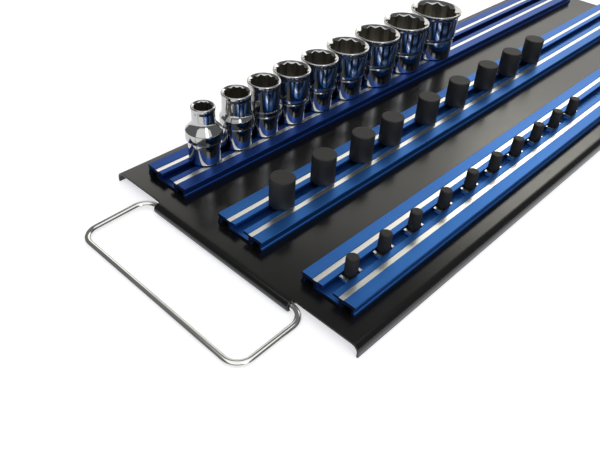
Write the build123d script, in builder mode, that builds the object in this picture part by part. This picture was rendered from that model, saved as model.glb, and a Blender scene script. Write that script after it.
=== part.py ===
"""Portable three-rail socket tray with a wire handle.

A sheet-steel tray, turned down along both long sides, carries three slotted
aluminium rails. Clips slide in each rail's slot: small posts on the right rail,
large posts on the middle one, and medium posts under nine sockets on the left.
A wire handle turns in a hem rolled from the tray's front edge.

Frame: millimetres, +Z up, the tray stands on Z = 0, its front edge faces -Y.
The origin is the bottom centre of the whole part's box.
"""
import os
from math import asin, cos, degrees, radians, sin

from build123d import *

os.makedirs("parts", exist_ok=True)

# Tray
tray_width = 163.0
tray_length = 445.0
tray_height = 6.2
sheet = 1.0
bend_radius = 4.0

# Handle and its hem
wire = 3.4
handle_width = 108.0
handle_reach = 38.0
handle_corner = 8.0
hinge_clearance = 0.25
hem_width = 91.0
hem_lead = 1.0
hem_turn = 300.0

# Rails
rail_width = 30.0
rail_height = 5.2
rail_pitch = 54.6
rail_setback = 11.0
slot_width = 5.7
cavity_width = 12.4
lip = 1.4
rail_floor = 1.2
stripe_width = 2.9
stripe_depth = 0.3
stripe_place = 7.35
pocket_width = 5.2
pocket_depth = 3.2
pocket_wall = 1.8
side_recess = 0.6
foot_bead = 1.2
top_bead = 0.9
edge_round = 0.3

# Rivets that hold the rails down
rivet_shank = 3.2
rivet_head = 5.4
rivet_sink = 0.8
rivet_tail = 5.2
rivet_tail_height = 1.2
rivet_count = 4
rivet_end = 45.0
rivet_clearance = 0.05

# Clips
slide_gap = 0.15
neck_width = 5.4
foot_length = 12.0
foot_thickness = 1.6
foot_round = 0.7
half_post = 12.6
half_post_height = 15.2
medium_post = 9.2
medium_post_height = 12.5
small_post = 6.1
small_post_top = 5.7
small_post_height = 9.0
post_edge = 0.5
rib_count = 14
rib_depth = 0.18
rib_width = 0.5

# Spring plates of the small clips
spring_width = 4.4
spring_sheet = 0.4
spring_bow = 3.7
spring_tip = 1.5
spring_bend = 0.5

# Sockets
socket_height = 30.5
socket_lift = 0.3
drive_square = 9.7
drive_depth = 13.5
ring_height = 12.6
groove_width = 1.0
groove_depth = 0.6
socket_edge = 0.6
mouth_edge = 0.6
point_count = 12
point_depth = 10.0
wall_at_points = 1.6
rim_height = 1.6
rim_land = 1.0
web_hole = 7.0
web_share = 0.75
star_share = 0.896

# Clip places, from the tray's front edge
half_places = [38.4, 67.8, 98.2, 123.4, 158.0, 189.5, 222.6, 252.7, 283.7]
small_places = [25.8, 48.6, 71.5, 96.0, 120.0, 143.4, 166.6, 189.6, 212.4, 235.0]

# Sockets: place, then the diameters of mouth, body, ring and drive end, then the heights of the
# ring's top and the shoulder's top
sockets = [
    (36.5, 12.5, 12.0, 19.4, 17.0, 17.5, 21.5),
    (58.6, 16.2, 15.6, 18.2, 16.4, 17.0, 19.5),
    (78.4, 18.4, 17.6, 18.0, 16.6, 15.0, 15.5),
    (99.6, 21.4, 20.4, 18.6, 16.8, 13.6, 15.5),
    (122.4, 21.9, 21.0, 19.4, 17.8, 13.6, 15.5),
    (147.2, 25.6, 24.4, 22.4, 20.8, 13.6, 15.5),
    (175.4, 28.2, 27.2, 26.4, 25.2, 13.6, 14.5),
    (205.6, 29.7, 28.0, 27.2, 25.8, 13.6, 14.5),
    (239.0, 33.8, 31.4, 30.6, 29.4, 13.6, 14.5),
]

# Places worked out from the sizes above
wire_radius = wire / 2
bore_radius = wire_radius + hinge_clearance
hem_radius = bore_radius + sheet
hinge_z = tray_height - hem_radius
handle_tilt = degrees(asin((hinge_z - wire_radius) / handle_reach))
front = (handle_reach * cos(radians(handle_tilt)) + hem_lead + wire_radius - tray_length) / 2
hinge_y = front - hem_lead
rail_length = tray_length - 2 * rail_setback
rail_front = front + rail_setback
rail_top = tray_height + rail_height
left_x, middle_x, right_x = -rail_pitch, 0.0, rail_pitch
lip_under = rail_top - lip
foot_top = lip_under - slide_gap
post_bottom = rail_top + slide_gap
cavity_floor = tray_height + rail_floor


def save(piece, name):
    """Label a finished piece and write it to its own file."""
    piece.part.label = name
    export_step(piece.part, f"parts/{name}.step")


# Tray: one sheet, its long sides turned down, its front edge rolled into a hem
with BuildPart() as tray_plate:
    with BuildSketch(Plane.XZ.offset(-front)):
        with BuildLine():
            side = tray_width / 2
            crown = side - bend_radius
            Polyline((-side, tray_height - bend_radius), (-side, 0), (-side + sheet, 0),
                     (-side + sheet, tray_height - bend_radius))
            RadiusArc((-side + sheet, tray_height - bend_radius),
                      (-crown, tray_height - sheet), bend_radius - sheet)
            Line((-crown, tray_height - sheet), (crown, tray_height - sheet))
            RadiusArc((crown, tray_height - sheet),
                      (side - sheet, tray_height - bend_radius), bend_radius - sheet)
            Polyline((side - sheet, tray_height - bend_radius), (side - sheet, 0), (side, 0),
                     (side, tray_height - bend_radius))
            RadiusArc((side, tray_height - bend_radius), (crown, tray_height), -bend_radius)
            Line((crown, tray_height), (-crown, tray_height))
            RadiusArc((-crown, tray_height), (-side, tray_height - bend_radius), -bend_radius)
        make_face()
    extrude(amount=-tray_length)
    with BuildSketch(Plane.YZ):
        with BuildLine():
            outer = CenterArc((hinge_y, hinge_z), hem_radius, 90, hem_turn)
            inner = CenterArc((hinge_y, hinge_z), bore_radius, 90, hem_turn)
            Line(outer @ 0, inner @ 0)
            Line(outer @ 1, inner @ 1)
        make_face()
    extrude(amount=hem_width / 2, both=True)
    with BuildSketch(Plane.XY.offset(tray_height - sheet)):
        with Locations((0, front - hem_lead / 2)):
            Rectangle(hem_width, hem_lead)
    extrude(amount=sheet)
    rivet_step = (rail_length - 2 * rivet_end) / (rivet_count - 1)
    with Locations((0, rail_front + rail_length / 2, tray_height)):
        with GridLocations(rail_pitch, rivet_step, 3, rivet_count):
            Hole(rivet_shank / 2 + rivet_clearance, depth=sheet)
save(tray_plate, "tray_plate")

# Handle: one wire bent to a closed loop, lying with its outer bar on the ground
tilt = radians(handle_tilt)
handle_plane = Plane((0, hinge_y, hinge_z), x_dir=(1, 0, 0), z_dir=(0, -sin(tilt), cos(tilt)))
with BuildPart() as handle:
    with BuildLine(handle_plane) as half_loop:
        half = handle_width / 2
        FilletPolyline((0, 0), (half, 0), (half, -handle_reach), (0, -handle_reach),
                       radius=handle_corner)
    with BuildSketch(Plane(half_loop.line @ 0, z_dir=half_loop.line % 0)):
        Circle(wire_radius)
    sweep()
    mirror(about=Plane.YZ)
save(handle, "handle")

# Rails: three equal lengths of one extrusion
for rail_name, rail_x in (("rail_left", left_x), ("rail_middle", middle_x), ("rail_right", right_x)):
    with BuildPart() as rail:
        with BuildSketch(Plane((rail_x, rail_front, tray_height), x_dir=(1, 0, 0), z_dir=(0, -1, 0))):
            with BuildLine():
                edge = rail_width / 2
                stripe_in = stripe_place - stripe_width / 2
                stripe_out = stripe_place + stripe_width / 2
                pocket_in = cavity_width / 2 + pocket_wall
                half_outline = Polyline(
                    (0, 0), (pocket_in, 0), (pocket_in, pocket_depth),
                    (pocket_in + pocket_width, pocket_depth), (pocket_in + pocket_width, 0),
                    (edge, 0), (edge, foot_bead), (edge - side_recess, foot_bead + edge_round),
                    (edge - side_recess, rail_height - top_bead - edge_round),
                    (edge, rail_height - top_bead), (edge, rail_height - edge_round),
                    (edge - edge_round, rail_height),
                    (stripe_out, rail_height), (stripe_out - stripe_depth, rail_height - stripe_depth),
                    (stripe_in + stripe_depth, rail_height - stripe_depth), (stripe_in, rail_height),
                    (slot_width / 2, rail_height), (slot_width / 2, rail_height - lip),
                    (cavity_width / 2, rail_height - lip), (cavity_width / 2, rail_floor),
                    (0, rail_floor))
                mirror(half_outline, about=Plane.YZ)
            make_face()
        extrude(amount=-rail_length)
        with Locations((rail_x, rail_front + rail_length / 2, cavity_floor)):
            with GridLocations(1, rivet_step, 1, rivet_count):
                CounterSinkHole(rivet_shank / 2 + rivet_clearance,
                                rivet_head / 2 + rivet_clearance, depth=rail_floor)
    save(rail, rail_name)

# Rivets: flush heads in the rails' floors, tails closed under the sheet
with BuildPart() as rail_rivets:
    with Locations((0, rail_front + rail_length / 2, 0)):
        with GridLocations(rail_pitch, rivet_step, 3, rivet_count):
            with Locations((0, 0, tray_height - sheet)):
                Cylinder(rivet_shank / 2, cavity_floor - rivet_sink - tray_height + sheet,
                         align=(Align.CENTER, Align.CENTER, Align.MIN))
                Cylinder(rivet_tail / 2, rivet_tail_height,
                         align=(Align.CENTER, Align.CENTER, Align.MAX))
            with Locations((0, 0, cavity_floor - rivet_sink)):
                Cone(rivet_shank / 2, rivet_head / 2, rivet_sink,
                     align=(Align.CENTER, Align.CENTER, Align.MIN))
save(rail_rivets, "rail_rivets")

# Clips: a round post over a neck that passes the rail's slot and a cross foot under its lips
clip_kinds = [
    ("three_eighths_post", left_x, [row[0] for row in sockets],
     medium_post, medium_post, medium_post_height),
    ("half_inch_post", middle_x, half_places, half_post, half_post, half_post_height),
    ("quarter_inch_post", right_x, small_places, small_post, small_post_top, small_post_height),
]
for kind, x, places, low_width, top_width, height in clip_kinds:
    for number, place in enumerate(places, start=1):
        y = front + place
        with BuildPart() as clip:
            with BuildSketch(Plane((x, y, foot_top - foot_thickness))):
                RectangleRounded(foot_length, neck_width, foot_round)
            extrude(amount=foot_thickness)
            with BuildSketch(Plane((x, y, foot_top))):
                Circle(neck_width / 2)
            extrude(amount=post_bottom - foot_top)
            with BuildSketch(Plane((x, y, post_bottom))):
                Circle(low_width / 2)
            with BuildSketch(Plane((x, y, post_bottom + height))):
                Circle(top_width / 2)
            loft()
            chamfer(edges().group_by(Axis.Z)[-1], post_edge)
            if kind == "quarter_inch_post":
                with BuildSketch(Plane((x, y, post_bottom + post_edge))):
                    with PolarLocations(low_width / 2, rib_count):
                        Rectangle(2 * rib_depth, rib_width)
                extrude(amount=height, mode=Mode.SUBTRACT)
        save(clip, f"{kind}_{number}")

# Spring plates of the small clips: a bowed strip on the rail's floor whose tips rise into the slot
for number, place in enumerate(small_places, start=1):
    y = front + place
    strip_low = cavity_floor + slide_gap + spring_sheet / 2
    strip_high = rail_top - slide_gap - spring_sheet
    with BuildPart() as spring_plate:
        with BuildLine() as strip:
            FilletPolyline((right_x, y - spring_bow - spring_tip, strip_high),
                           (right_x, y - spring_bow, strip_high),
                           (right_x, y - spring_bow, strip_low), (right_x, y + spring_bow, strip_low),
                           (right_x, y + spring_bow, strip_high),
                           (right_x, y + spring_bow + spring_tip, strip_high), radius=spring_bend)
        with BuildSketch(Plane(strip.line @ 0, x_dir=(1, 0, 0), z_dir=strip.line % 0)):
            Rectangle(spring_width, spring_sheet)
        sweep()
    save(spring_plate, f"spring_plate_{number}")

# Sockets: turned outside, a square at the drive end and twelve points at the mouth
for number, (place, mouth, body, ring, drive, ring_top, shoulder) in enumerate(sockets, start=1):
    y = front + place
    base = rail_top + socket_lift
    across_points = body - 2 * wall_at_points
    with BuildPart() as socket:
        with BuildSketch(Plane((left_x, y, base), x_dir=(1, 0, 0), z_dir=(0, -1, 0))):
            with BuildLine():
                Polyline(
                    (0, 0), (drive / 2 - socket_edge, 0), (drive / 2, socket_edge),
                    (drive / 2, ring_height - groove_width),
                    (drive / 2 - groove_depth, ring_height - groove_width),
                    (drive / 2 - groove_depth, ring_height),
                    (ring / 2, ring_height), (ring / 2, ring_top), (body / 2, shoulder),
                    (body / 2, socket_height - 2 * rim_height),
                    (mouth / 2, socket_height - rim_height),
                    (mouth / 2, socket_height - mouth_edge), (mouth / 2 - mouth_edge, socket_height),
                    (0, socket_height), close=True)
            make_face()
        revolve(axis=Axis((left_x, y, base), (0, 0, 1)))
        with BuildSketch(Plane((left_x, y, base))):
            Rectangle(drive_square, drive_square)
        extrude(amount=drive_depth, mode=Mode.SUBTRACT)
        with BuildSketch(Plane((left_x, y, base))):
            Circle(min(web_hole, across_points * web_share) / 2)
        extrude(amount=socket_height, mode=Mode.SUBTRACT)
        with BuildSketch(Plane((left_x, y, base + socket_height - point_depth))):
            for turn in (0, 360 / point_count):
                RegularPolygon(across_points / 2, point_count // 2, rotation=turn)
        extrude(amount=point_depth, mode=Mode.SUBTRACT)
        lead_top = mouth / 2 - rim_land
        lead_low = across_points / 2 * star_share
        with Locations((left_x, y, base + socket_height)):
            Cone(lead_low, lead_top, lead_top - lead_low,
                 align=(Align.CENTER, Align.CENTER, Align.MAX), mode=Mode.SUBTRACT)
    save(socket, f"socket_{number}")

print(f"front edge y {front:.3f}, hinge y {hinge_y:.3f} z {hinge_z:.3f}, tilt {handle_tilt:.3f}")
print(f"rail top z {rail_top:.3f}, rail front y {rail_front:.3f}, rail length {rail_length:.3f}")
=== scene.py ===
"""A portable socket tray: three slotted rails on a black steel sheet, with posts, sockets and
a wire handle, dressed piece by piece in the order in which it is put together."""
from math import atan2, ceil, cos, pi, radians, sin, tan

import bmesh
import bpy
from mathutils import Matrix, Vector


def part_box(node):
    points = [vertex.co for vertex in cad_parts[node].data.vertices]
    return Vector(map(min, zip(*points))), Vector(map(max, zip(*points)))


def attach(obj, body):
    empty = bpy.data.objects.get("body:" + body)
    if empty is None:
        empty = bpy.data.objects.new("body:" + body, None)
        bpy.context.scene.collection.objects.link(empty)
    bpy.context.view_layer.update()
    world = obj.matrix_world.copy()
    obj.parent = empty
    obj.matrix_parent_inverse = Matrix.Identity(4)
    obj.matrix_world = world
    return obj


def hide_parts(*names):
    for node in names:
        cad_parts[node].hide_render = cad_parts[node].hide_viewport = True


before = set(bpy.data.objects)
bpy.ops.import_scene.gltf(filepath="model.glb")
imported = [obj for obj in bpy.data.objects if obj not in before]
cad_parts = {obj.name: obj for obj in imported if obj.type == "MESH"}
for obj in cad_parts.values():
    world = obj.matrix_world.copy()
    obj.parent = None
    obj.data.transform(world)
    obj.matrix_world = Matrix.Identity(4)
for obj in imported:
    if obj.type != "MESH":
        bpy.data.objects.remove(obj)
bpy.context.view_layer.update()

# The camera looks down along the rails from ahead of the tray's right front corner.
# A hand-held view: it leans a few degrees, and its lens is a little longer than normal.
camera_place = Vector((0.17181, -0.34365, 0.20108))
camera_azimuth, camera_elevation, camera_lean = radians(41.48), radians(39.18), radians(3.69)
film_width = 36
photo_width, focal_pixels = 600, 648.3
camera_back = Vector((sin(camera_azimuth) * cos(camera_elevation),
                      -cos(camera_azimuth) * cos(camera_elevation), sin(camera_elevation)))
camera_level = Vector((cos(camera_azimuth), sin(camera_azimuth), 0))
camera_rise = camera_back.cross(camera_level)
camera_right = camera_level * cos(camera_lean) + camera_rise * sin(camera_lean)
camera_up = camera_rise * cos(camera_lean) - camera_level * sin(camera_lean)
camera = bpy.data.objects.new("camera", bpy.data.cameras.new("camera"))
camera.matrix_world = Matrix.LocRotScale(
    camera_place, Matrix((camera_right, camera_up, camera_back)).transposed(), None)
camera.data.sensor_width = film_width
camera.data.lens = film_width * focal_pixels / photo_width
camera.data.clip_start = 0.005
bpy.context.scene.collection.objects.link(camera)
bpy.context.scene.camera = camera
bpy.context.scene.view_settings.view_transform = "Standard"


# The studio: a white table top under a grey room. A broad lamp and a small window behind the tray
# give the rails' long gleam, one high lamp lights the whole, and two low ones, before the tray and
# at its side, draw lines on the chrome.
class Socket:
    """One output of a material's node, so that shader maths reads as plain Python."""

    def __init__(self, finish, output):
        self.finish, self.output = finish, output

    def math(self, operation, *terms):
        return self.finish.node("ShaderNodeMath", {"operation": operation}, dict(enumerate(terms)))

    def port(self, name):
        return Socket(self.finish, self.output.node.outputs[name])

    def __add__(self, other):
        return self.math("ADD", self, other)

    def __sub__(self, other):
        return self.math("SUBTRACT", self, other)

    def __mul__(self, other):
        return self.math("MULTIPLY", self, other)

    __radd__, __rmul__ = __add__, __mul__

    def between(self, low, high):
        """0 at low, 1 at high, and straight in between."""
        return self.finish.node("ShaderNodeMapRange", {}, {
            "Value": self, "From Min": low, "From Max": high})


class Finish:
    """A material under construction."""

    def __init__(self, name):
        self.material = bpy.data.materials.new(name)
        self.material.use_nodes = True
        self.tree = self.material.node_tree
        self.tree.nodes.clear()

    def node(self, kind, settings, inputs, output=0):
        made = self.tree.nodes.new(kind)
        for name, value in settings.items():
            setattr(made, name, value)
        for name, value in inputs.items():
            if isinstance(value, Socket):
                self.tree.links.new(value.output, made.inputs[name])
            else:
                made.inputs[name].default_value = value
        return Socket(self, made.outputs[output]) if made.outputs else None

    def place(self):
        """Object coordinates, in metres in the tray's own frame."""
        return self.node("ShaderNodeTexCoord", {}, {}, "Object")

    def noise(self, scale, stretch=(1, 1, 1), detail=3.0, roughness=0.5):
        """Cloudy noise from 0 to 1, scale features to the metre."""
        spread = self.node("ShaderNodeMapping", {}, {"Vector": self.place(), "Scale": stretch})
        return self.node("ShaderNodeTexNoise", {}, {
            "Vector": spread, "Scale": scale, "Detail": detail, "Roughness": roughness})

    def mix(self, share, low, high):
        """A colour between low and high."""
        return self.node("ShaderNodeMix", {"data_type": "RGBA"}, {0: share, 6: low, 7: high}, 2)

    def bump(self, height, distance, strength=1.0):
        return self.node("ShaderNodeBump", {}, {
            "Height": height, "Distance": distance, "Strength": strength})

    def done(self, **inputs):
        """Close the material with one principled shader."""
        shader = self.node("ShaderNodeBsdfPrincipled", {}, {
            name.replace("_", " "): value for name, value in inputs.items()})
        self.node("ShaderNodeOutputMaterial", {}, {"Surface": shader})
        return self.material


table_size, table_drop = 7.0, 0.0002
table_glow = 0.6
table_mesh = bpy.data.meshes.new("table")
table_mesh.from_pydata([(x * table_size / 2, y * table_size / 2, -table_drop)
                        for x, y in ((-1, -1), (1, -1), (1, 1), (-1, 1))], [], [(0, 1, 2, 3)])
table = bpy.data.objects.new("table", table_mesh)
bpy.context.scene.collection.objects.link(table)
white = Finish("table_white")
path = white.node("ShaderNodeLightPath", {}, {})
seen = path + path.port("Is Glossy Ray") + path.port("Is Transmission Ray")
lit = white.node("ShaderNodeBsdfDiffuse", {}, {"Color": (0.68, 0.68, 0.69, 1)})
glow = white.node("ShaderNodeEmission", {}, {"Color": (0.97, 0.97, 1, 1),
                                            "Strength": seen.math("MINIMUM", seen, 1) * table_glow})
white.node("ShaderNodeOutputMaterial", {}, {
    "Surface": white.node("ShaderNodeAddShader", {}, {0: lit, 1: glow})})
table_mesh.materials.append(white.material)

room_dim, room_white = 0.17, 1.0  # dim for the part, white for the camera
world = bpy.data.worlds.new("room")
world.use_nodes = True
room = world.node_tree.nodes["Background"]
room.inputs["Color"].default_value = (0.95, 0.97, 1, 1)
ray = world.node_tree.nodes.new("ShaderNodeLightPath")
shown = world.node_tree.nodes.new("ShaderNodeMapRange")
shown.inputs["To Min"].default_value, shown.inputs["To Max"].default_value = room_dim, room_white
world.node_tree.links.new(ray.outputs["Is Camera Ray"], shown.inputs["Value"])
world.node_tree.links.new(shown.outputs["Result"], room.inputs["Strength"])
bpy.context.scene.world = world
lamps = [  # name, place, aim, width, depth, power, colour
    ("lamp_behind", (-0.8, 1.14, 0.77), (0, -0.05, 0), 2.2, 0.86, 7.2, (1, 0.975, 0.9)),
    ("lamp_window", (-0.34, 1.2, 0.84), (0.06, 0, 0), 0.4, 0.36, 1.1, (1, 0.98, 0.86)),
    ("lamp_front", (0.95, -1.1, 0.62), (0, -0.2, 0), 1.6, 0.35, 1.0, (1, 1, 0.98)),
    ("lamp_above", (0.42, -0.5, 1.4), (0, -0.05, 0), 2.3, 2.3, 17.0, (1, 1, 1)),
    ("lamp_side", (1.1, -0.5, 0.8), (0, 0, 0), 0.35, 0.9, 3.0, (0.95, 0.97, 1)),
]
for name, lamp_place, aim, width, depth, power, colour in lamps:
    light = bpy.data.lights.new(name, "AREA")
    light.shape, light.size, light.size_y = "RECTANGLE", width, depth
    light.energy, light.color = power, colour
    lamp = bpy.data.objects.new(name, light)
    lamp.matrix_world = Matrix.LocRotScale(
        Vector(lamp_place), (Vector(lamp_place) - Vector(aim)).to_track_quat("Z", "Y"), None)
    bpy.context.scene.collection.objects.link(lamp)

# The tray: one sheet of 1 mm steel, both long sides turned down over a former and the front edge
# rolled into a hem for the handle, then powder coated black in a satin gloss.
mm = 0.001
tray_low, tray_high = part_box("tray_plate")
tray_side = tray_high.x
tray_top = tray_high.z
tray_rear = tray_high.y
sheet = 1.0 * mm
bend = 4.0 * mm
wire_radius = 1.7 * mm
hinge_clearance = 0.25 * mm
hem_bore = wire_radius + hinge_clearance
hem_radius = hem_bore + sheet
hem_half = 45.5 * mm
hem_turn = 300
hem_lead = 1.0 * mm
sheet_edge = 0.22 * mm
tray_front = tray_low.y + hem_radius + hem_lead
hinge = Vector((0, tray_front - hem_lead, tray_top - hem_radius))
arc_step = 7.5


def arc(centre, radius, start, sweep):
    """Points on a circle in a plane, angles in degrees."""
    steps = max(2, ceil(abs(sweep) / arc_step))
    return [(centre[0] + radius * cos(radians(start + sweep * i / steps)),
             centre[1] + radius * sin(radians(start + sweep * i / steps))) for i in range(steps + 1)]


def finished(name, mesh, material, body, nodes, edge=0.0, sharp=35.0):
    """Link a mesh as a piece: smooth but for its sharp edges, which a small bevel may soften."""
    made = bmesh.new()
    made.from_mesh(mesh)
    bmesh.ops.remove_doubles(made, verts=made.verts, dist=1e-7)
    bmesh.ops.recalc_face_normals(made, faces=made.faces)
    for face in made.faces:
        face.smooth = True
    for side in made.edges:
        side.smooth = len(side.link_faces) == 2 and side.calc_face_angle(0) < radians(sharp)
    made.to_mesh(mesh)
    made.free()
    piece = bpy.data.objects.new(name, mesh)
    bpy.context.scene.collection.objects.link(piece)
    for one in material if isinstance(material, tuple) else (material,):
        mesh.materials.append(one)
    if edge:
        bevel = piece.modifiers.new("softened_edges", "BEVEL")
        bevel.width, bevel.segments, bevel.limit_method = edge, 2, "ANGLE"
        bevel.angle_limit = radians(sharp)
        bevel.harden_normals = True
    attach(piece, body)
    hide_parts(*nodes)


def bar(made, outline, first, last, closed=True):
    """A bar between two places of one outline; first and last turn its points into vertices."""
    near = [made.verts.new(first(point)) for point in outline]
    far = [made.verts.new(last(point)) for point in outline]
    count = len(outline)
    for i in range(count if closed else count - 1):
        made.faces.new((near[i], near[(i + 1) % count], far[(i + 1) % count], far[i]))
    made.faces.new(near)
    made.faces.new(far)


def meshed(made, name):
    """The finished shape as a mesh."""
    mesh = bpy.data.meshes.new(name)
    made.to_mesh(mesh)
    made.free()
    return mesh


side_outline = ([(hem_half, tray_top)] + arc((tray_side - bend, tray_top - bend), bend, 90, -90)
                + [(tray_side, 0), (tray_side - sheet, 0)]
                + arc((tray_side - bend, tray_top - bend), bend - sheet, 0, 90)
                + [(hem_half, tray_top - sheet)])
hem_centre = (hinge.y, hinge.z)
hem_outline = ([(tray_front, tray_top)] + arc(hem_centre, hem_radius, 90, hem_turn)
               + arc(hem_centre, hem_bore, 90 + hem_turn, -hem_turn)
               + [(tray_front, tray_top - sheet)])
made = bmesh.new()
for turn in (1, -1):
    bar(made, side_outline, lambda point: (turn * point[0], tray_front, point[1]),
        lambda point: (turn * point[0], tray_rear, point[1]), closed=False)
bar(made, hem_outline, lambda point: (-hem_half, *point), lambda point: (hem_half, *point),
    closed=False)
corners = [[made.verts.new((x, y, z)) for y, z in (
    (tray_front, tray_top), (tray_rear, tray_top), (tray_rear, tray_top - sheet),
    (tray_front, tray_top - sheet))] for x in (-hem_half, hem_half)]
for i in range(3):
    made.faces.new((corners[0][i], corners[0][i + 1], corners[1][i + 1], corners[1][i]))
tray_mesh = meshed(made, "tray")

paint = Finish("black_powder_coat")
orange_peel = paint.noise(700, detail=2)
fine_grain = paint.noise(3200, detail=2)
handling = paint.noise(28, detail=5, roughness=0.6)
scuffs = paint.noise(60, (6, 0.7, 1), detail=6, roughness=0.7).between(0.62, 0.8)
dust = paint.noise(5200, detail=1).between(0.77, 0.83)
painted = paint.done(
    Base_Color=paint.mix(dust * 0.5 + scuffs * 0.25, (0.0036, 0.0036, 0.0033, 1),
                         (0.05, 0.05, 0.046, 1)),
    Roughness=0.15 + handling * 0.13 + scuffs * 0.12,
    Normal=paint.bump(orange_peel + fine_grain * 0.25, 0.00002, 0.35),
    IOR=1.52)
finished("tray", tray_mesh, painted, "tray", ["tray_plate"], edge=sheet_edge)

# The handle: 3.4 mm steel wire, bent to a long loop, butt welded inside the hem and bright plated.
# Its outer bar rests on the table.
loop_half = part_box("handle")[1].x - wire_radius
loop_corner = 8.0 * mm
loop_reach = 38.0 * mm
loop_fall = (hinge.z - wire_radius) / loop_reach
loop_out = Vector((0, -(1 - loop_fall ** 2) ** 0.5, -loop_fall))
loop_normal = Vector((1, 0, 0)).cross(loop_out)
corner_in, corner_out = loop_half - loop_corner, loop_reach - loop_corner
loop = [point for start, centre in ((-90, (corner_in, loop_corner)), (0, (corner_in, corner_out)),
                                    (90, (-corner_in, corner_out)), (180, (-corner_in, loop_corner)))
        for point in arc(centre, loop_corner, start, 90)]
corner_steps = ceil(90 / arc_step)
loop_turns = [start + 90 * i / corner_steps for start in (-90, 0, 90, 180)
              for i in range(corner_steps + 1)]
ring_points = 32
made = bmesh.new()
rings = []
for (across, out), turn in zip(loop, loop_turns):
    centre = hinge + Vector((across, 0, 0)) + loop_out * out
    outward = Vector((1, 0, 0)) * cos(radians(turn)) + loop_out * sin(radians(turn))
    rings.append([made.verts.new(centre + (outward * cos(2 * pi * i / ring_points)
                                           + loop_normal * sin(2 * pi * i / ring_points))
                                 * wire_radius) for i in range(ring_points)])
for ring, following in zip(rings, rings[1:] + rings[:1]):
    for i in range(ring_points):
        j = (i + 1) % ring_points
        made.faces.new((ring[i], ring[j], following[j], following[i]))
handle_mesh = meshed(made, "handle_wire")

bright = Finish("bright_plate")
drawn = bright.noise(260, (0.15, 1, 1), detail=4)
wipe = bright.noise(55, detail=4)
plated = bright.done(
    Base_Color=bright.mix(wipe, (0.7, 0.69, 0.66, 1), (0.84, 0.84, 0.82, 1)),
    Metallic=1.0, Roughness=0.09 + drawn * 0.05 + wipe * 0.05,
    Normal=bright.bump(drawn, 0.00002, 0.15))
finished("handle_wire", handle_mesh, plated, "handle", ["handle"], sharp=60)

# The rails: three lengths of one aluminium extrusion, dyed blue in the anodising bath; the two
# shallow grooves beside the slot were cut afterwards and shine bare.
rail_names = ("rail_left", "rail_middle", "rail_right")
rail_height = 5.2 * mm
rail_half = 15.0 * mm
slot_half = 2.85 * mm
cavity_half = 6.2 * mm
lip, rail_floor = 1.4 * mm, 1.2 * mm
stripe_in, stripe_out, stripe_depth, stripe_slant = 5.9 * mm, 8.8 * mm, 0.3 * mm, 0.12 * mm
pocket_in, pocket_out, pocket_top = 8.0 * mm, 13.2 * mm, 3.2 * mm
recess, foot_bead, top_bead = 0.6 * mm, 1.2 * mm, 0.9 * mm
rail_chamfer, rail_edge = 0.3 * mm, 0.09 * mm
painted_shade_start, painted_shade_full = -30 * mm, -36 * mm  # only the left rail lies beyond these; painted shade darkens its blue there
half_outline = [
    (0, 0), (pocket_in, 0), (pocket_in, pocket_top), (pocket_out, pocket_top), (pocket_out, 0),
    (rail_half, 0), (rail_half, foot_bead), (rail_half - recess, foot_bead + rail_chamfer),
    (rail_half - recess, rail_height - top_bead - rail_chamfer), (rail_half, rail_height - top_bead),
    (rail_half, rail_height - rail_chamfer), (rail_half - rail_chamfer, rail_height),
    (stripe_out, rail_height), (stripe_out - stripe_slant, rail_height - stripe_depth),
    (stripe_in + stripe_slant, rail_height - stripe_depth), (stripe_in, rail_height),
    (slot_half, rail_height), (slot_half, rail_height - lip), (cavity_half, rail_height - lip),
    (cavity_half, rail_floor), (0, rail_floor)]
rail_outline = half_outline + [(-x, z) for x, z in half_outline[-2:0:-1]]

# Besides the real dye and its random tone, this material paints shade: beyond x = -30 mm the blue
# turns darker, for the left rail's reflection of the dark sockets.
dye = Finish("blue_anodising_and_painted_shade")
die_lines = dye.noise(2600, (1, 0.012, 1), detail=3)
bath = dye.noise(18, detail=3)
satin = dye.noise(5000, detail=1)
shade = bath * 0.7 + die_lines * 0.3
across = dye.node("ShaderNodeSeparateXYZ", {}, {"Vector": dye.place()}, "X")
left_rail_painted_shade = across.between(painted_shade_start, painted_shade_full)  # painted shade: the left rail's blue is darkened, standing in for the dark sockets it reflects
dyed_and_painted_shade = dye.done(
    Base_Color=dye.mix(left_rail_painted_shade, dye.mix(shade, (0.021, 0.11, 0.4, 1), (0.05, 0.215, 0.62, 1)),
                       dye.mix(shade, (0.012, 0.05, 0.26, 1), (0.03, 0.11, 0.42, 1))),
    Metallic=0.9, Roughness=0.36 + satin * 0.06 + die_lines * 0.06,
    Normal=dye.bump(die_lines + satin * 0.4, 0.00001, 0.35))
bare = Finish("bare_aluminium")
cutter = bare.noise(6000, (1, 0.008, 1), detail=3)
bared = bare.done(
    Base_Color=bare.mix(cutter, (0.82, 0.81, 0.76, 1), (0.95, 0.94, 0.9, 1)),
    Metallic=1.0, Roughness=0.24 + cutter * 0.1,
    Normal=bare.bump(cutter, 0.00001, 0.3))
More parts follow.
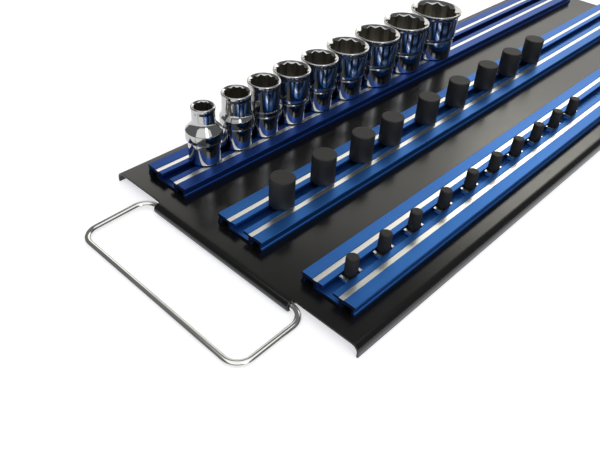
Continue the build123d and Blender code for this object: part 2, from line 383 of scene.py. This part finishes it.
# Painted shade: the sawn ends get a near-black blue, far darker than the dyed faces, standing in for
# the shade they lie in; only the saw marks are their own.
sawn = Finish("sawn_ends_painted_shade")
saw_marks = sawn.noise(2400, (0.05, 1, 1), detail=3)
painted_shade_ends = sawn.done(
    Base_Color=sawn.mix(saw_marks, (0.004, 0.009, 0.035, 1), (0.01, 0.022, 0.075, 1)),
    Metallic=0.6, Roughness=0.5 + saw_marks * 0.1, Normal=sawn.bump(saw_marks, 0.00002, 0.4))
for rail_name in rail_names:
    rail_low, rail_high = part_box(rail_name)
    rail_x = (rail_low.x + rail_high.x) / 2
    made = bmesh.new()
    bar(made, rail_outline, lambda point: (rail_x + point[0], rail_low.y, rail_low.z + point[1]),
        lambda point: (rail_x + point[0], rail_high.y, rail_low.z + point[1]))
    groove = rail_low.z + rail_height - stripe_depth
    for face in made.faces:
        if len(face.verts) > 4:
            face.material_index = 2
        elif all(abs(vert.co.z - groove) < 1e-6 for vert in face.verts):
            face.material_index = 1
    finished(f"{rail_name}_extrusion", meshed(made, rail_name), (dyed_and_painted_shade, bared, painted_shade_ends), "tray",
             [rail_name], edge=rail_edge, sharp=25)

# The rivets: twelve of one kind in three rows, each with its head in a rail's floor, crowned a
# little above it, and its tail closed under the sheet. One is turned and a grid repeats it.
rivet_low, rivet_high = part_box("rail_rivets")
rivet_tail, rivet_shank, rivet_head = 2.6 * mm, 1.6 * mm, 2.7 * mm
tail_round, head_sink, head_edge = 0.4 * mm, 0.8 * mm, 0.1 * mm
rivet_across = rivet_high.x - rivet_low.x - 2 * max(rivet_tail, rivet_head)
rivet_along = rivet_high.y - rivet_low.y - 2 * max(rivet_tail, rivet_head)
crown, rivet_facets = 0.12 * mm, 32


def turned(name, rows, centre, facets):
    """A closed turning: rows of (radius, height), or a function of the angle, about centre."""
    made = bmesh.new()
    angles = [2 * pi * i / facets for i in range(facets)]
    loops = []
    for row in rows:
        points = [row(angle) if callable(row) else row for angle in angles]
        if max(radius for radius, _ in points) < 1e-9:
            loops.append([made.verts.new(centre + Vector((0, 0, points[0][1])))] * facets)
        else:
            loops.append([made.verts.new(centre + Vector((radius * cos(angle), radius * sin(angle),
                                                          height)))
                          for angle, (radius, height) in zip(angles, points)])
    pole_ends = loops[0][0] is loops[0][1] and loops[-1][0] is loops[-1][1]
    for low, high in zip(loops, loops[1:] if pole_ends else loops[1:] + loops[:1]):
        for i in range(facets):
            j = (i + 1) % facets
            corner_set = []
            for vert in (low[i], low[j], high[j], high[i]):
                if vert not in corner_set:
                    corner_set.append(vert)
            if len(corner_set) > 2:
                made.faces.new(corner_set)
    return meshed(made, name)


def rounded(rows, facets=3):
    """Break the corners of a turning's rows: a row may carry a third number, its radius."""
    result = []
    for i, row in enumerate(rows):
        if callable(row) or len(row) < 3:
            result.append(row)
            continue
        here = Vector(row[:2])
        before = (Vector(rows[i - 1][:2]) - here).normalized()
        after = (Vector(rows[i + 1][:2]) - here).normalized()
        half = before.angle(after) / 2
        reach = row[2] / tan(half)
        centre = here + (before + after).normalized() * (row[2] / sin(half))
        first, last = here + before * reach - centre, here + after * reach - centre
        start, sweep = atan2(first.y, first.x), first.angle_signed(last)
        for step in range(facets + 1):
            angle = start - sweep * step / facets
            result.append((centre.x + row[2] * cos(angle), centre.y + row[2] * sin(angle)))
    return result


class Growth:
    """A Geometry Nodes tree under construction, with named inputs."""

    def __init__(self, name, inputs):
        self.tree = bpy.data.node_groups.new(name, "GeometryNodeTree")
        self.tree.interface.new_socket(name="Geometry", in_out="INPUT",
                                       socket_type="NodeSocketGeometry")
        for label, kind, value in inputs:
            made = self.tree.interface.new_socket(name=label, in_out="INPUT", socket_type=kind)
            if value is not None:
                made.default_value = value
        self.tree.interface.new_socket(name="Geometry", in_out="OUTPUT",
                                       socket_type="NodeSocketGeometry")
        self.given = self.tree.nodes.new("NodeGroupInput").outputs

    def node(self, kind, settings, inputs, output=0):
        made = self.tree.nodes.new(kind)
        for name, value in settings.items():
            setattr(made, name, value)
        for name, value in inputs.items():
            if isinstance(value, bpy.types.NodeSocket):
                self.tree.links.new(value, made.inputs[name])
            else:
                made.inputs[name].default_value = value
        return made.outputs[output]

    def end(self, shape):
        """Real geometry in the piece's own material, then out."""
        real = self.node("GeometryNodeRealizeInstances", {}, {"Geometry": shape})
        cover = self.node("GeometryNodeSetMaterial", {}, {
            "Geometry": real, "Material": self.given["Material"]})
        result = self.tree.nodes.new("NodeGroupOutput")
        self.tree.links.new(cover, result.inputs[0])


def grown(mesh, growth, values):
    """The plain mesh that a tree makes of a mesh with these values of its named inputs."""
    seed = bpy.data.objects.new("seed", mesh)
    bpy.context.scene.collection.objects.link(seed)
    modifier = seed.modifiers.new("growth", "NODES")
    modifier.node_group = growth.tree
    for item in growth.tree.interface.items_tree:
        if item.in_out == "INPUT" and item.name in values:
            modifier[item.identifier] = values[item.name]
    seed.update_tag()
    bpy.context.view_layer.update()
    plain = bpy.data.meshes.new_from_object(
        seed.evaluated_get(bpy.context.evaluated_depsgraph_get()))
    bpy.data.objects.remove(seed)
    plain.materials.clear()
    return plain


head_dye = Finish("dyed_rivet")
spun = head_dye.noise(900, detail=3)
dyed_rivet = head_dye.done(
    Base_Color=head_dye.mix(spun, (0.02, 0.1, 0.36, 1), (0.045, 0.19, 0.55, 1)),
    Metallic=0.85, Roughness=0.3 + spun * 0.15, Normal=head_dye.bump(spun, 0.00003, 0.3))
rivet_grid = Growth("rivet_rows", [
    ("Material", "NodeSocketMaterial", None), ("Across", "NodeSocketFloat", rivet_across),
    ("Along", "NodeSocketFloat", rivet_along), ("Rows", "NodeSocketInt", 3),
    ("Rivets", "NodeSocketInt", 4), ("Middle", "NodeSocketVector", (0, 0, 0))])
stations = rivet_grid.node("GeometryNodeMeshGrid", {}, {
    "Size X": rivet_grid.given["Across"], "Size Y": rivet_grid.given["Along"],
    "Vertices X": rivet_grid.given["Rows"], "Vertices Y": rivet_grid.given["Rivets"]})
stations = rivet_grid.node("GeometryNodeTransform", {}, {
    "Geometry": stations, "Translation": rivet_grid.given["Middle"]})
rivet_grid.end(rivet_grid.node("GeometryNodeInstanceOnPoints", {}, {
    "Points": stations, "Instance": rivet_grid.given["Geometry"]}))
rivet_foot = rivet_low.z
under_sheet = tray_top - sheet
head_top = rivet_high.z
one_rivet = turned("rivet", rounded([
    (0, rivet_foot), (rivet_tail, rivet_foot, tail_round), (rivet_tail, under_sheet),
    (rivet_shank, under_sheet), (rivet_shank, head_top - head_sink), (rivet_head, head_top),
    (rivet_head - head_edge, head_top + crown / 2), (rivet_head / 2, head_top + crown),
    (0, head_top + crown)]), Vector((0, 0, 0)), rivet_facets)
rivet_mesh = grown(one_rivet, rivet_grid, {
    "Material": dyed_rivet, "Middle": ((rivet_low.x + rivet_high.x) / 2,
                                       (rivet_low.y + rivet_high.y) / 2, 0)})
finished("rivets", rivet_mesh, dyed_rivet, "tray", ["rail_rivets"])

# The clips: moulded black posts, each with a neck through its rail's slot and a cross foot under
# the lips. The small ones are ribbed all round, so that a small socket grips them.
rail_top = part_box("rail_middle")[1].z
slide_gap = 0.15 * mm
foot_top = rail_top - lip - slide_gap
foot_thickness = 1.6 * mm
foot_low = foot_top - foot_thickness
post_low = rail_top + slide_gap
neck_radius, neck_sink = 2.7 * mm, 0.2 * mm
foot_half, foot_side, foot_corner = 6.0 * mm, 2.7 * mm, 0.7 * mm
foot_centres = [(x * (foot_half - foot_corner), y * (foot_side - foot_corner))
                for x, y in ((1, 1), (-1, 1), (-1, -1), (1, -1))]
foot_outline = [point for foot_centre, start in zip(foot_centres, (0, 90, 180, 270))
                for point in arc(foot_centre, foot_corner, start, 90)]
post_foot_round, post_top_round, flat_share = 0.3 * mm, 0.45 * mm, 0.8
post_rib_radius, rib_margin = 0.2 * mm, 0.9 * mm
post_facets = 64

mould = Finish("black_moulding")
grain = mould.noise(4200, detail=2)
flow = mould.noise(140, detail=4)
rub = mould.noise(420, detail=5, roughness=0.65).between(0.6, 0.78)
moulded = mould.done(
    Base_Color=mould.mix(flow * 0.5 + rub * 0.5, (0.0045, 0.0045, 0.0042, 1),
                         (0.015, 0.015, 0.0135, 1)),
    Roughness=0.53 + grain * 0.12 - rub * 0.1, Normal=mould.bump(grain, 0.00003, 0.45))
ribbing = Growth("ribbed_post", [
    ("Material", "NodeSocketMaterial", None), ("Ribs", "NodeSocketInt", 30),
    ("Radius", "NodeSocketFloat", 0.003), ("Rib radius", "NodeSocketFloat", 0.0002),
    ("Rib length", "NodeSocketFloat", 0.008), ("Lean", "NodeSocketFloat", 0.0),
    ("Middle", "NodeSocketVector", (0, 0, 0))])
ring = ribbing.node("GeometryNodeMeshCircle", {}, {
    "Vertices": ribbing.given["Ribs"], "Radius": ribbing.given["Radius"]})
outward = ribbing.node("FunctionNodeAlignEulerToVector", {"axis": "X"}, {
    "Vector": ribbing.node("GeometryNodeInputPosition", {}, {})})
leaning = ribbing.node("FunctionNodeRotateEuler", {"rotation_type": "EULER", "space": "LOCAL"}, {
    "Rotation": outward, "Rotate By": ribbing.node("ShaderNodeCombineXYZ", {}, {
        "Y": ribbing.given["Lean"]})})
rib = ribbing.node("GeometryNodeMeshCylinder", {}, {
    "Vertices": 8, "Radius": ribbing.given["Rib radius"], "Depth": ribbing.given["Rib length"]})
ribs = ribbing.node("GeometryNodeInstanceOnPoints", {}, {
    "Points": ring, "Instance": rib, "Rotation": leaning})
ribs = ribbing.node("GeometryNodeTransform", {}, {
    "Geometry": ribs, "Translation": ribbing.given["Middle"]})
together = ribbing.node("GeometryNodeJoinGeometry", {}, {"Geometry": ribbing.given["Geometry"]})
ribbing.tree.links.new(ribs, together.node.inputs["Geometry"])
ribbing.end(together)

clip_kinds = [  # node names, body names, count, radius, top radius, height, ribs
    ("three_eighths_post", "left_clip", 9, 4.6 * mm, 4.6 * mm, 12.5 * mm, 0),
    ("half_inch_post", "middle_clip", 9, 6.3 * mm, 6.3 * mm, 15.2 * mm, 0),
    ("quarter_inch_post", "right_clip", 10, 3.05 * mm, 2.85 * mm, 9.0 * mm, 30)]
for kind, body, count, low_radius, top_radius, height, rib_count in clip_kinds:
    for number in range(1, count + 1):
        node = f"{kind}_{number}"
        clip_low, clip_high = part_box(node)
        centre = Vector(((clip_low.x + clip_high.x) / 2, (clip_low.y + clip_high.y) / 2, 0))
        rib_radius = post_rib_radius if rib_count else 0
        low, top = low_radius - rib_radius / 2, top_radius - rib_radius / 2
        clip_mesh = turned(node, rounded([
            (0, foot_top - neck_sink), (neck_radius, foot_top - neck_sink), (neck_radius, post_low),
            (low, post_low, post_foot_round), (top, post_low + height, post_top_round),
            (top * flat_share, post_low + height), (0, post_low + height)]), centre,
            post_facets)
        made = bmesh.new()
        made.from_mesh(clip_mesh)
        bar(made, foot_outline, lambda point: (centre.x + point[0], centre.y + point[1], foot_low),
            lambda point: (centre.x + point[0], centre.y + point[1], foot_top))
        made.to_mesh(clip_mesh)
        made.free()
        if rib_count:
            lean = atan2(low - top, height)
            clip_mesh = grown(clip_mesh, ribbing, {
                "Material": moulded, "Ribs": rib_count, "Radius": (low + top) / 2,
                "Rib radius": rib_radius, "Rib length": height - rib_margin, "Lean": -lean,
                "Middle": (centre.x, centre.y, post_low + height / 2)})
        finished(f"{kind}_moulding_{number}", clip_mesh, moulded, f"{body}_{number}",
                 [node], sharp=40)

# The spring plates: bright steel strips bowed under the small clips' feet; their ends rise into
# the slot before and behind each post.
spring_width, spring_sheet = 4.4 * mm, 0.4 * mm
spring_bow, spring_tip, spring_bend, spring_edge = 3.7 * mm, 1.5 * mm, 0.5 * mm, 0.05 * mm
outer, inner = spring_bend + spring_sheet / 2, spring_bend - spring_sheet / 2
spring = Finish("spring_steel")
rolled = spring.noise(1500, (1, 0.1, 1), detail=3)
sprung = spring.done(
    Base_Color=spring.mix(rolled, (0.72, 0.72, 0.71, 1), (0.88, 0.88, 0.87, 1)),
    Metallic=1.0, Roughness=0.16 + rolled * 0.14, Normal=spring.bump(rolled, 0.00002, 0.25))
for number in range(1, 11):
    node = f"spring_plate_{number}"
    plate_low, plate_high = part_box(node)
    y = (plate_low.y + plate_high.y) / 2
    low, high = plate_low.z, plate_high.z
    near_wall = y + spring_bow - spring_sheet / 2
    far_wall = y + spring_bow + spring_sheet / 2
    tip = y + spring_bow + spring_tip
    upper = ([(tip, high), (y + spring_bow, high), (near_wall, high - spring_sheet / 2)]
             + arc((near_wall - inner, low + spring_sheet + inner), inner, 0, -90))
    lower = (arc((far_wall - outer, low + outer), outer, -90, 90)
             + [(far_wall, high - spring_sheet), (tip, high - spring_sheet)])
    mirrored = [(2 * y - along, height) for along, height in reversed(lower + upper)]
    made = bmesh.new()
    x = (plate_low.x + plate_high.x) / 2
    bar(made, upper + mirrored + lower, lambda point: (x - spring_width / 2, *point),
        lambda point: (x + spring_width / 2, *point))
    finished(f"spring_strip_{number}", meshed(made, node), sprung, f"right_clip_{number}",
             [node], edge=spring_edge, sharp=40)

# The sockets: turned steel, broached with twelve points at the mouth and a square at the drive
# end, polished and chrome plated. Each flares a little at its rim and has a ring below its middle.
# Their lengths are in millimetres, and each is turned to metres at the end.
socket_sizes = [  # mouth, body, ring and drive diameters, tops of the ring and of the shoulder
    (12.5, 12.0, 19.4, 17.0, 17.5, 21.5), (16.2, 15.6, 18.2, 16.4, 17.0, 19.5),
    (18.4, 17.6, 18.0, 16.6, 15.0, 15.5), (21.4, 20.4, 18.6, 16.8, 13.6, 15.5),
    (21.9, 21.0, 19.4, 17.8, 13.6, 15.5), (25.6, 24.4, 22.4, 20.8, 13.6, 15.5),
    (28.2, 27.2, 26.4, 25.2, 13.6, 14.5), (29.7, 28.0, 27.2, 25.8, 13.6, 14.5),
    (33.8, 31.4, 30.6, 29.4, 13.6, 14.5)]
socket_height, ring_height, drive_depth, point_depth = 30.5, 12.6, 13.5, 10.0
drive_half, drive_edge, points_fall = 4.85, 0.5, 0.3
groove_width, groove_depth, foot_edge = 1.0, 0.6, 0.6
rim_height, rim_land, lead_fall, star_wall = 1.6, 0.7, 0.75, 1.0
web_widest, web_wall, web_share = 3.5, 1.6, 0.75
foot_round, groove_round, ring_round, neck_round, flare_round, mouth_round = (
    0.5, 0.1, 0.25, 1.5, 0.8, 0.55)
wide_ring, concave_waist, rolled_brim, plain_waist, plain_brim = 1.0, 5.0, 1.2, 0.6, 0.25
socket_facets, round_facets = 192, 6
slack = 0.1
chrome = Finish("polished_chrome")
polish = chrome.noise(350, detail=4)
finger = chrome.noise(90, detail=5, roughness=0.6)
chromed = chrome.done(
    Base_Color=chrome.mix(finger, (0.42, 0.42, 0.415, 1), (0.56, 0.56, 0.55, 1)),
    Metallic=1.0, Roughness=0.05 + polish * 0.04 + finger * 0.05,
    Normal=chrome.bump(polish, 0.00001, 0.2))
inside = Finish("broached_steel")
broach = inside.noise(1400, (1, 1, 0.1), detail=4)
broached = inside.done(
    Base_Color=inside.mix(broach, (0.16, 0.15, 0.13, 1), (0.36, 0.34, 0.3, 1)),
    Metallic=1.0, Roughness=0.28 + broach * 0.2, Normal=inside.bump(broach, 0.00003, 0.4))


def star(corner):
    """A twelve-point hole's radius at an angle: two hexagons, one turned by 30 degrees."""
    def radius(angle):
        return max(corner * cos(pi / 6) / cos((angle + turn) % (pi / 3) - pi / 6)
                   for turn in (0, pi / 6))
    return radius


def square(half):
    """A square hole's radius at an angle."""
    return lambda angle: half / max(abs(cos(angle)), abs(sin(angle)))


for number, sizes in enumerate(socket_sizes, start=1):
    node = f"socket_{number}"
    socket_low, socket_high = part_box(node)
    centre = Vector(((socket_low.x + socket_high.x) / 2, (socket_low.y + socket_high.y) / 2,
                     socket_low.z))
    mouth, body, ring_size, drive = (size / 2 for size in sizes[:4])
    ring_top, shoulder = sizes[4:]
    points = star(body - star_wall)
    land = mouth - rim_land
    drive_hole = square(drive_half)
    web = min(web_widest, (body - web_wall) * web_share)
    waist, brim = ((concave_waist, rolled_brim) if ring_size > body + wide_ring
                   else (plain_waist, plain_brim))
    rows = rounded([
        (drive - foot_edge, 0), (drive, 0, foot_round),
        (drive, ring_height - groove_width, groove_round),
        (drive - groove_depth, ring_height - groove_width), (drive - groove_depth, ring_height),
        (ring_size, ring_height, ring_round), (ring_size, ring_top, brim),
        (body, shoulder, waist), (body, socket_height - 2 * rim_height, neck_round),
        (mouth, socket_height - rim_height, flare_round), (mouth, socket_height, mouth_round),
        (land, socket_height)], round_facets)
    rows += [
        lambda angle: (points(angle), socket_height - lead_fall * (land - points(angle))),
        lambda angle: (points(angle), socket_height - point_depth),
        (web, socket_height - point_depth - points_fall), (web, drive_depth),
        lambda angle: (drive_hole(angle), drive_depth),
        lambda angle: (drive_hole(angle), drive_edge),
        lambda angle: (drive_hole(angle) + drive_edge, 0)]
    scaled = [(lambda angle, row=row: tuple(part * mm for part in row(angle))) if callable(row)
              else (row[0] * mm, row[1] * mm) for row in rows]
    socket_mesh = turned(node, scaled, centre, socket_facets)
    lead_foot = socket_height - lead_fall * (land - points(pi / 12)) - slack / 2
    for face in socket_mesh.polygons:
        from_axis = (face.center - centre).xy.length / mm
        from_foot = (face.center.z - centre.z) / mm
        in_square = (from_foot < drive_depth + 2 * slack
                     and from_axis < drive_half * 2 ** 0.5 + slack)
        in_points = (from_foot > socket_height - point_depth - points_fall - slack
                     and from_axis < body - star_wall + slack)
        in_web = from_axis < web + slack
        if (in_square or in_points or in_web) and slack / 10 < from_foot < lead_foot:
            face.material_index = 1
    finished(f"socket_chrome_{number}", socket_mesh, (chromed, broached), node,
             [node], sharp=38)
